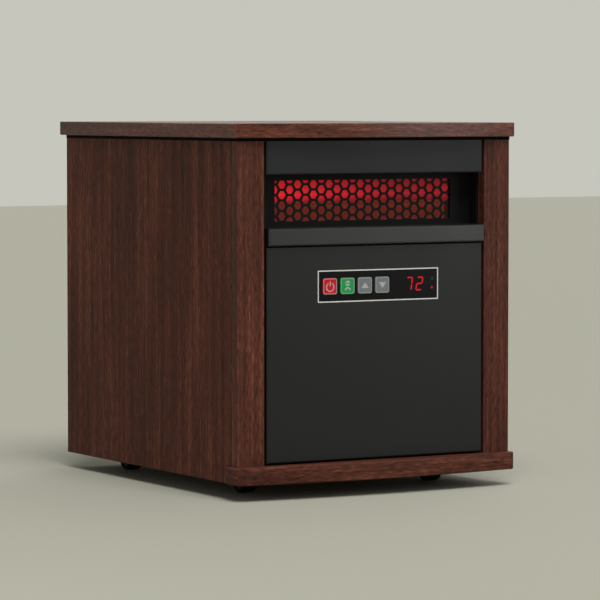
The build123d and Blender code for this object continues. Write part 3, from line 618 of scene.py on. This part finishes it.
# ------------------------------------------------------------------ operators
class HEATER_OT_boards(bpy.types.Operator):
    """Veneer the cabinet boards, each with its own run of grain"""
    bl_idname = "heater.boards"
    bl_label = "Cabinet boards"

    def execute(self, context):
        # The right stile and the base rail are drawn darker and the top paler: partly their own tone,
        # partly painted shade and painted light.
        clothe(veneer("veneer_left_side", "Z", tone_and_painted_light=0.92, shift=0.31, sheen=0.05), "left_side_panel")
        clothe(veneer("veneer_right_side", "Z", tone_and_painted_light=0.92, shift=2.17, sheen=0.05), "right_side_panel")
        clothe(veneer("veneer_left_stile", "Z", tone_and_painted_light=0.95, shift=4.43, sheen=0.1), "left_stile")
        clothe(veneer("veneer_right_stile", "Z", tone_and_painted_light=0.75, shift=6.29, sheen=0.1), "right_stile")
        clothe(veneer("veneer_top", "X", tone_and_painted_light=1.06, shift=8.53, sheen=0.18, gloss=0.2), "top_board")
        base = veneer("veneer_base", "X", tone_and_painted_light=0.81, shift=9.87, sheen=0.1)
        clothe(base, "rear_rail")
        lay_base_rail(base)
        board = moulded_plastic("particle_board", "9A7B56", 0.75, grain=1.6, depth=0.2)
        clothe(board, "bottom_board", "back_battens")
        lay_joint_strip()
        return {"FINISHED"}


def lay_base_rail(material):
    """Bowed base rail that stands out a little beyond both sides, with small rounded corners.

    The part that stands out ends a little in front of the rail's own back.
    """
    side_reach, ear_setback = 3.7 * MM, 6.6 * MM
    reach_at_ends = 8 * MM     # in front of the stiles
    corner, ease = 6.5 * MM, 1.2 * MM
    bow_steps, corner_steps, ease_steps = 24, 6, 3
    low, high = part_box("base_rail")
    half = high.x + side_reach
    ear_back = high.y - ear_setback
    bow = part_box("left_stile")[0].y - reach_at_ends - low.y
    radius = (half * half + bow * bow) / (2 * bow)
    centre_y = low.y + radius
    front = []
    for step in range(-bow_steps, bow_steps + 1):
        x = (half - corner) * step / bow_steps
        front.append((x, centre_y - sqrt(radius * radius - x * x)))
    turn_x, turn_y = half - corner, front[-1][1] + corner
    end = []
    for step in range(1, corner_steps + 1):
        turn = pi / 2 * step / corner_steps
        end.append((turn_x + corner * sin(turn), turn_y - corner * cos(turn)))
    end += [(half, ear_back), (high.x, ear_back), (high.x, high.y)]
    plan = front + end + [(-x, y) for x, y in reversed(end)]
    bm = bmesh.new()
    foot = [bm.verts.new((x, y, low.z)) for x, y in plan]
    slab = bmesh.ops.extrude_face_region(bm, geom=[bm.faces.new(foot)])
    bmesh.ops.translate(bm, verts=[v for v in slab["geom"] if isinstance(v, bmesh.types.BMVert)],
                        vec=(0, 0, high.z - low.z))
    bmesh.ops.recalc_face_normals(bm, faces=bm.faces)
    rims = [edge for edge in bm.edges if edge.verts[0].co.z == edge.verts[1].co.z]
    bmesh.ops.bevel(bm, geom=rims, offset=ease, segments=ease_steps, affect="EDGES", profile=0.5)
    make_piece("veneered_base_rail", bm, material, "cabinet", ["base_rail"])


def lay_joint_strip():
    """Thin black strip in the joint under the top board, along both sides and across the front."""
    height, thickness = 3.4 * MM, 0.15 * MM
    low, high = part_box("left_side_panel")
    stile_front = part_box("left_stile")[0].y
    left = low.x - thickness
    front = stile_front - thickness
    foot = high.z - height
    bm = bmesh.new()
    add_bar(bm, (left, front, foot), (low.x, high.y, high.z))
    add_bar(bm, (-low.x, front, foot), (-left, high.y, high.z))
    add_bar(bm, (low.x, front, foot), (-low.x, stile_front, high.z))
    vinyl = moulded_plastic("extruded_black_vinyl", "060606", 0.8, sheen=0.05)
    make_piece("top_joint_strip", bm, vinyl, "cabinet")


class HEATER_OT_mouldings(bpy.types.Operator):
    """Finish the black mouldings of the front"""
    bl_idname = "heater.mouldings"
    bl_label = "Front mouldings"

    def execute(self, context):
        look = context.scene.heater_moulding
        mouldings = (
            ("lower_panel", "moulded_panel_abs", "0C0D0E", look.roughness, 1.4 * look.sheen),
            ("upper_fascia", "moulded_fascia_abs", "1D1F21", look.roughness, 0.8 * look.sheen),
            ("mid_bar", "moulded_bar_abs", "0D1012", look.roughness - 0.06, 2.3 * look.sheen),
            ("outlet_surround", "moulded_recess_abs", "0B0C0D", 0.6, 0.1),
        )
        for node, name, colour, roughness, sheen in mouldings:
            clothe(moulded_plastic(name, colour, roughness, sheen=sheen), node)
        return {"FINISHED"}


class HEATER_OT_outlet(bpy.types.Operator):
    """Finish the grille, the lit lens with its light box, the circuit boards and the duct"""
    bl_idname = "heater.outlet"
    bl_label = "Outlet"

    def execute(self, context):
        clothe(powder_coat("powder_coated_grille", "0C0D0E", 0.55), "hex_grille")
        clothe(lit_lens("frosted_red_acrylic"), "glow_lens")
        clothe(moulded_plastic("moulded_white_abs", "D8D8D2", 0.45), "terminal_block")
        # The white light box is drawn dark red-brown with a painted red glow: painted shade and painted
        # light.
        clothe(painted_glow_surface("white_abs_with_painted_glow", "2E1C1A", "642A20", 0.0, 0.6), "light_box")
        clothe(circuit_laminate("etched_circuit_board"), "led_strip", "control_board", "power_board")
        clothe(sheet_metal("galvanised_steel", "9FA3A6", 0.38, 14), "heat_duct", "fan_bulkhead")
        return {"FINISHED"}


class HEATER_OT_core(bpy.types.Operator):
    """Fold the fine fins of the heating core, and give the fins and the ceramic round them painted shade
    and a painted red glow
    """
    bl_idname = "heater.core"
    bl_label = "Heating core"

    def execute(self, context):
        glow = context.scene.heater_glow
        low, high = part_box("core_fins")
        bands, bar_height = 3, 3 * MM
        height = (high.z - low.z + bar_height) / bands - bar_height
        bm = bmesh.new()
        for band in range(bands):
            add_fins(bm, low, high, low.z + band * (height + bar_height), height, glow)
        # The fins and the ceramic are drawn dark with a painted red glow: painted shade and painted light
        # in place of the lens's red light on them.
        fins = painted_glow_surface("fins_with_painted_glow", "3A2624", "64271D", 0.3, 0.5)
        make_piece("core_fins_fine", bm, fins, "cabinet", ["core_fins"])
        ceramic = painted_glow_surface("ceramic_with_painted_glow", "3C2822", "682A20", 0.0, 0.7)
        clothe(ceramic, "core_frame", "ceramic_bars")
        return {"FINISHED"}


def add_fins(bm, low, high, foot, height, glow):
    """One folded strip: a zigzag of thin sheet between two ceramic bars, as wide and deep as the box."""
    folds = int((high.x - low.x) / (glow.fin_pitch / 2))
    step = (high.x - low.x) / folds
    sheet = glow.fin_sheet
    zigzag = [(low.x + index * step, foot + (index % 2) * (height - sheet)) for index in range(folds + 1)]
    edges = [[bm.verts.new((x, y, z + rise)) for x, z in zigzag]
             for y, rise in ((low.y, 0), (low.y, sheet), (high.y, sheet), (high.y, 0))]
    for index in range(folds):
        for here, there in zip(edges, edges[1:] + edges[:1]):
            bm.faces.new((here[index], here[index + 1], there[index + 1], there[index]))
    for index in (0, folds):
        bm.faces.new([edge[index] for edge in edges])


class HEATER_OT_controls(bpy.types.Operator):
    """Print the control window and light the digits of its display"""
    bl_idname = "heater.controls"
    bl_label = "Control window"

    def execute(self, context):
        look = context.scene.heater_control
        low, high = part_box("control_window")
        middle = (low + high) / 2
        clothe(printed_film("smoked_window", "0A0B0C", 0.3, sheen=0.08), "control_window")
        clothe(moulded_plastic("display_housing", "141416", 0.5), "display_module")

        width, height = high.x - low.x, high.z - low.z
        corner, corner_steps = 0.3 * MM, 3
        outer, inner = [moved(rounded_box(width - 2 * edge, height - 2 * edge, corner, corner_steps),
                              middle.x, middle.z) for edge in (0, look.line_width)]
        bm = bmesh.new()
        print_frame(bm, outer, inner, low.y)
        pale = printed_film("printed_line", "D6D7D4", 0.4, sheen=0.2)
        make_piece("window_line", bm, pale, "cabinet")

        display = middle_of("display_module")
        digits_reach, digits_lift = 19 * MM, 0.2 * MM          # left of and above the display's middle
        left = display.x - digits_reach
        foot = display.z - look.digit_height / 2 + digits_lift
        bm = bmesh.new()
        add_digit(bm, look, "ABC", left, foot, low.y)
        add_digit(bm, look, "ABGED", left + look.digit_pitch, foot, low.y)
        lit = lit_segment("lit_red_segments", "E41A26", 1.0)
        make_piece("display_digits", bm, lit, "cabinet")

        dot, dot_x, dot_z = 1.5 * MM, display.x + 14.6 * MM, foot + 3.1 * MM
        bm = bmesh.new()
        print_shape(bm, moved(disc(dot), dot_x, dot_z), low.y)
        lit = lit_segment("lit_red_dot", "A81A24", 0.9)
        make_piece("display_dot", bm, lit, "cabinet")

        ring, hole, ring_x, ring_z = 1.7 * MM, 1.0 * MM, display.x + 15 * MM, foot + 12.5 * MM
        bm = bmesh.new()
        print_frame(bm, moved(disc(ring), ring_x, ring_z), moved(disc(hole), ring_x, ring_z), low.y)
        dark = printed_film("printed_degree", "33373A", 0.4, sheen=0.2)
        make_piece("display_degree", bm, dark, "cabinet")
        return {"FINISHED"}


def add_digit(bm, look, lit, left, foot, face):
    """Slanted seven-segment digit: each lit segment is a bar with pointed ends."""
    width, height, stroke = look.digit_width, look.digit_height, look.stroke
    half, gap = stroke / 2, 0.25 * MM
    near, far, low, mid, top = half, width - half, half, height / 2, height - half
    ends = {"A": ((near, top), (far, top)), "B": ((far, top), (far, mid)), "C": ((far, mid), (far, low)),
            "D": ((near, low), (far, low)), "E": ((near, low), (near, mid)),
            "F": ((near, mid), (near, top)), "G": ((near, mid), (far, mid))}
    for name in lit:
        start, end = (Vector(point) for point in ends[name])
        along = (end - start).normalized()
        across = Vector((-along.y, along.x))
        start, end = start + along * gap, end - along * gap
        tip = half * 0.75
        outline = [start, start + along * tip - across * half, end - along * tip - across * half,
                   end, end - along * tip + across * half, start + along * tip + across * half]
        slanted = [(left + p.x + p.y * tan(look.digit_slant), foot + p.y) for p in outline]
        print_shape(bm, slanted, face)


class HEATER_OT_buttons(bpy.types.Operator):
    """Mould the four button caps with their pale rims and signs"""
    bl_idname = "heater.buttons"
    bl_label = "Buttons"

    def execute(self, context):
        look = context.scene.heater_control
        rim_film = printed_film("printed_rim", "8E9293", 0.4, sheen=0.2)
        sign_film = printed_film("printed_sign", "A9ACAC", 0.4, sheen=0.2)
        buttons = (
            ("power_button", look.power, power_sign()),
            ("mode_button", look.mode, mode_sign()),
            ("up_button", look.step, arrow_sign(1)),
            ("down_button", look.step, arrow_sign(-1)),
        )
        size, corner, rim = look.cap_size, look.cap_corner, look.rim_width
        bevel, edge = 0.35 * MM, 0.45 * MM     # of the cap, and from its side to the rim
        inside = size - 2 * (edge + rim)
        for node, colour, sign in buttons:
            low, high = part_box(node)
            x, z = (low.x + high.x) / 2, (low.z + high.z) / 2
            bm = bmesh.new()
            add_prism(bm, moved(rounded_box(size, size, corner), x, z), low.y, high.y, bevel)
            cap = cap_plastic(node + "_moulded_cap", colour)
            make_piece(node + "_cap", bm, cap, node, [node])

            outer = moved(rounded_box(size - 2 * edge, size - 2 * edge, corner - edge), x, z)
            inner = moved(rounded_box(inside, inside, corner - edge - rim / 2), x, z)
            bm = bmesh.new()
            print_frame(bm, outer, inner, low.y)
            make_piece(node + "_rim", bm, rim_film, node)

            bm = bmesh.new()
            for part in sign:
                print_shape(bm, moved(part, x, z), low.y)
            make_piece(node + "_sign", bm, sign_film, node)
        return {"FINISHED"}


def power_sign():
    """Ring open at the top with a bar through the opening."""
    half, foot, top = 0.55 * MM, 0.3 * MM, 5.2 * MM
    bar = [(-half, foot), (half, foot), (half, top), (-half, top)]
    ring = moved(arc_band(4.5 * MM, 2 * half, 122, 418), 0, -0.7 * MM)
    return [bar, ring]


def mode_sign():
    """Banded disc above a small arch."""
    radius, rise = 2.9 * MM, 2.7 * MM
    upper = moved(arc(radius, 10, 170), 0, rise)
    lower = moved(arc(radius, 190, 350), 0, rise)
    arch = moved(arc_band(3.0 * MM, 1.6 * MM, 12, 168), 0, -5.0 * MM)
    return [upper, lower, arch]


def arrow_sign(way):
    """Triangle that points up or down."""
    half, foot, tip = 4.6 * MM, -2.9 * MM, 3.2 * MM
    points = [(-half, foot), (half, foot), (0, tip)]
    return [[(x, z * way) for x, z in points][::way]]


class HEATER_OT_fan(bpy.types.Operator):
    """Finish the fan and its shroud, and the motor with its shaft"""
    bl_idname = "heater.fan"
    bl_label = "Fan"

    def execute(self, context):
        clothe(moulded_plastic("moulded_black_nylon", "1D1E20", 0.48), "fan_rotor", "fan_shroud")
        clothe(laminated_steel("laminated_motor_core"), "fan_motor")
        clothe(sheet_metal("ground_shaft_steel", "B4B6B8", 0.25, 3, contrast=0.06), "motor_shaft")
        return {"FINISHED"}


class HEATER_OT_electronics(bpy.types.Operator):
    """Finish the switches, the sensor and the standoffs"""
    bl_idname = "heater.electronics"
    bl_label = "Electronics"

    def execute(self, context):
        clothe(sheet_metal("stamped_cutoff_steel", "8F9294", 0.35, 4), "thermal_cutoff")
        clothe(moulded_plastic("moulded_switch_abs", "C9C8C0", 0.5), "tip_over_switch", "room_sensor")
        clothe(moulded_plastic("moulded_standoff_nylon", "D4D2C6", 0.5), "board_standoffs")
        return {"FINISHED"}


class HEATER_OT_back(bpy.types.Operator):
    """Finish the back panel and the bushing, and drive the panel's screws"""
    bl_idname = "heater.back"
    bl_label = "Back panel"

    def execute(self, context):
        look = context.scene.heater_back
        clothe(moulded_plastic("moulded_back_abs", "1A1B1C", 0.52, grain=0.9, depth=0.06), "back_panel")
        clothe(moulded_plastic("moulded_rubber", "161616", 0.75, grain=0.8), "cord_bushing")
        low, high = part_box("back_panel")
        steel = sheet_metal("zinc_plated_screws", "8A8C8E", 0.35, 1.5)
        left, right = low.x + look.screw_inset, high.x - look.screw_inset
        foot, top = low.z + look.screw_inset, high.z - look.screw_inset
        middle_z = (low.z + high.z) / 2
        seats = [(x, z) for x in (left, 0, right) for z in (foot, top)]
        seats += [(left, middle_z), (right, middle_z)]
        bm = bmesh.new()
        for x, z in seats:
            add_screw(bm, (x, high.y, z), (0, 1, 0), look.screw_head)
        make_piece("back_screws", bm, steel, "cabinet")
        return {"FINISHED"}


def add_screw(bm, seat, axis, radius):
    """Pan head with a small round recess; the axis points out of the seat."""
    height = radius * 0.55
    profile = [(0, radius), (height * 0.45, radius * 0.98), (height * 0.8, radius * 0.8),
               (height, radius * 0.5), (height, radius * 0.3), (height * 0.45, radius * 0.12),
               (height * 0.45, 0)]
    add_turned(bm, profile, seat, axis, steps=24)


class HEATER_OT_intake(bpy.types.Operator):
    """Finish the louvred cover and weave the filter mesh behind it"""
    bl_idname = "heater.intake"
    bl_label = "Intake cover"

    def execute(self, context):
        look = context.scene.heater_back
        clothe(moulded_plastic("moulded_cover_abs", "1C1D1F", 0.45), "intake_cover")
        low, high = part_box("filter_mesh")
        middle_y = (low.y + high.y) / 2
        half = look.strand / 2
        count = int((high.x - low.x) / look.mesh_pitch)
        pitch = (high.x - low.x - look.strand) / count
        bm = bmesh.new()
        for index in range(count + 1):     # upright and level strands overlap by half a strand
            x, z = low.x + half + index * pitch, low.z + half + index * pitch
            add_bar(bm, (x - half, middle_y - 0.5 * half, low.z), (x + half, middle_y + half, high.z))
            add_bar(bm, (low.x, middle_y - half, z - half), (high.x, middle_y + 0.5 * half, z + half))
        strands = moulded_plastic("woven_nylon_mesh", "2A2B2C", 0.55, grain=0.6)
        make_piece("filter_mesh_woven", bm, strands, "intake_cover", ["filter_mesh"])
        return {"FINISHED"}


class HEATER_OT_casters(bpy.types.Operator):
    """Turn the wheels, finish the forks and plates, and set their rivets and screws"""
    bl_idname = "heater.casters"
    bl_label = "Casters"

    def execute(self, context):
        look = context.scene.heater_caster
        steel = sheet_metal("black_zinc_plated_steel", "3A3B3D", 0.4, 3)
        nylon = moulded_plastic("moulded_caster_nylon", "0D0D0E", 0.6, sheen=0.2)
        clothe(steel, "caster_plates")
        rivet_head, screw_head = 2.4 * MM, 2.8 * MM
        screw_reach, plate = 13.5 * MM, 2 * MM     # from the swivel to the screws, thickness of a plate
        plate_low, plate_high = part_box("caster_plates")
        seat = plate_high.z - plate
        screws = bmesh.new()
        for place in CASTERS:
            fork, wheel = "caster_fork_" + place, "caster_wheel_" + place
            clothe(steel, fork)
            centre = middle_of(wheel)
            low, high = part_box(wheel)
            half, radius = (high.x - low.x) / 2, (high.z - low.z) / 2
            bm = bmesh.new()
            add_turned(bm, wheel_profile(half, radius, look), centre, (1, 0, 0), steps=96)
            make_piece("wheel_" + place, bm, nylon, "wheel_" + place, [wheel])

            fork_low, fork_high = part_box(fork)
            bm = bmesh.new()
            for x, way in ((fork_low.x, -1), (fork_high.x, 1)):
                add_screw(bm, (x, centre.y, centre.z), (way, 0, 0), rivet_head)
            make_piece("axle_rivets_" + place, bm, steel, "caster_" + place)

            swivel_x, swivel_y = (fork_low.x + fork_high.x) / 2, plate_middle(place, plate_low, plate_high)
            for dx in (-screw_reach, screw_reach):
                for dy in (-screw_reach, screw_reach):
                    add_screw(screws, (swivel_x + dx, swivel_y + dy, seat), (0, 0, -1), screw_head)
        make_piece("plate_screws", screws, steel, "cabinet")
        return {"FINISHED"}


def plate_middle(place, low, high):
    """Middle of a caster plate in Y, from the box of all four plates."""
    half_plate = 19 * MM
    return low.y + half_plate if place.startswith("front") else high.y - half_plate


def wheel_profile(half, radius, look):
    """Wheel section: dished faces and a tread with rounded edges."""
    round_steps = 6
    tread, slope = look.tread_round, 0.8 * MM
    hub, web = radius * 0.34, radius * 0.72
    profile = [(-half, 0), (-half, hub), (look.hub_recess - half, hub + slope),
               (look.hub_recess - half, web), (-half, web + slope)]
    for step in range(round_steps + 1):
        turn = pi / 2 * step / round_steps
        profile.append((tread - half - tread * cos(turn), radius - tread + tread * sin(turn)))
    return profile + [(-distance, reach) for distance, reach in reversed(profile)]


class HEATER_OT_stage(bpy.types.Operator):
    """Lay the pale floor, set the soft lights and place the camera"""
    bl_idname = "heater.stage"
    bl_label = "Stage"

    def execute(self, context):
        look = context.scene.heater_stage
        floor_reach = 9.0      # metres from the middle to each edge
        bm = bmesh.new()
        bmesh.ops.create_grid(bm, x_segments=1, y_segments=1, size=floor_reach)
        mesh = bpy.data.meshes.new("studio_floor")
        bm.to_mesh(mesh)
        bm.free()
        mesh.materials.append(pale_floor("painted_floor"))
        floor = bpy.data.objects.new("studio_floor", mesh)
        context.collection.objects.link(floor)

        rim_share, softbox_size = 0.18, 0.5
        add_sun("key_light", (-0.2, -0.86, 1.5), look.key_strength, radians(38))
        add_sun("rim_light", (0.75, 0.35, 0.75), look.key_strength * rim_share, radians(60))
        softboxes = (
            ("right_softbox", (1.0, -1.35, 0.5), (0.1, 0, 0.2), look.softbox_power),
            ("left_softbox", (-1.3, -0.84, 0.45), (-0.17, -0.19, 0.2), look.softbox_power / 2),
        )
        for name, place, target, power in softboxes:
            add_softbox(name, place, Vector(target), softbox_size, power)
        make_world(context.scene)

        camera = bpy.data.objects.new("camera", bpy.data.cameras.new("camera"))
        context.collection.objects.link(camera)
        camera.data.lens = look.lens
        camera.data.sensor_width = 36
        camera.data.clip_end = 100
        camera.location = (-look.camera_distance * sin(look.camera_turn),
                           -look.camera_distance * cos(look.camera_turn), look.camera_height)
        camera.rotation_euler = Euler((pi / 2 - look.camera_dip, 0, -look.camera_aim))
        context.scene.camera = camera
        context.scene.view_settings.view_transform = "Standard"
        return {"FINISHED"}


def add_sun(name, towards, strength, angle):
    """Wide soft sun, so that near and far floor are lit alike; towards points at the light."""
    data = bpy.data.lights.new(name, "SUN")
    data.energy = strength
    data.angle = angle
    light = bpy.data.objects.new(name, data)
    light.rotation_euler = Vector(towards).to_track_quat("Z", "Y").to_euler()
    bpy.context.collection.objects.link(light)


def add_softbox(name, place, target, size, power):
    """Square soft light aimed at a point, for the sheen on the veneer and the satin front."""
    data = bpy.data.lights.new(name, "AREA")
    data.size = size
    data.energy = power
    light = bpy.data.objects.new(name, data)
    light.location = place
    light.rotation_euler = (target - Vector(place)).to_track_quat("-Z", "Y").to_euler()
    bpy.context.collection.objects.link(light)


def make_world(scene):
    """Dim even surround that lights the object; seen, mirrored or through glass, it is the backdrop."""
    world = bpy.data.worlds.new("studio_surround")
    world.use_nodes = True
    tree = world.node_tree
    tree.nodes.clear()
    path = add(tree, "LightPath")
    seen = path.outputs["Is Camera Ray"]
    for ray in ("Is Glossy Ray", "Is Transmission Ray"):
        seen = add(tree, "Math", {0: seen, 1: path.outputs[ray]}, operation="MAXIMUM").outputs[0]
    look = scene.heater_stage
    strength = add(tree, "Mix", {"Factor": seen, NUMBER_A: look.surround_strength, NUMBER_B: 1.0})
    background = add(tree, "Background", {"Color": look.backdrop_colour,
                                          "Strength": strength.outputs[NUMBER_OUT]})
    add(tree, "OutputWorld", {"Surface": background.outputs[0]})
    scene.world = world


class HEATER_PT_panel(bpy.types.Panel):
    """Lists the steps that dress the heater"""
    bl_idname = "HEATER_PT_panel"
    bl_label = "Cabinet heater"
    bl_space_type = "VIEW_3D"
    bl_region_type = "UI"
    bl_category = "Heater"

    def draw(self, context):
        for step in STEPS:
            self.layout.operator(step.bl_idname)
        for name in SETTINGS:
            settings = getattr(context.scene, name)
            box = self.layout.box()
            for field in settings.bl_rna.properties:
                if field.identifier not in ("rna_type", "name"):
                    box.prop(settings, field.identifier)


STEPS = (
    HEATER_OT_boards,
    HEATER_OT_mouldings,
    HEATER_OT_outlet,
    HEATER_OT_core,
    HEATER_OT_controls,
    HEATER_OT_buttons,
    HEATER_OT_fan,
    HEATER_OT_electronics,
    HEATER_OT_back,
    HEATER_OT_intake,
    HEATER_OT_casters,
    HEATER_OT_stage,
)


def register():
    for name, group in SETTINGS.items():
        bpy.utils.register_class(group)
        setattr(bpy.types.Scene, name, bpy.props.PointerProperty(type=group))
    for step in STEPS + (HEATER_PT_panel,):
        bpy.utils.register_class(step)


def unregister():
    for step in (HEATER_PT_panel,) + STEPS[::-1]:
        bpy.utils.unregister_class(step)
    for name, group in SETTINGS.items():
        delattr(bpy.types.Scene, name)
        bpy.utils.unregister_class(group)


def main():
    """Register the add-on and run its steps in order."""
    register()
    for step in STEPS:
        area, action = step.bl_idname.split(".")
        getattr(getattr(bpy.ops, area), action)()


if __name__ == "__main__":
    main()
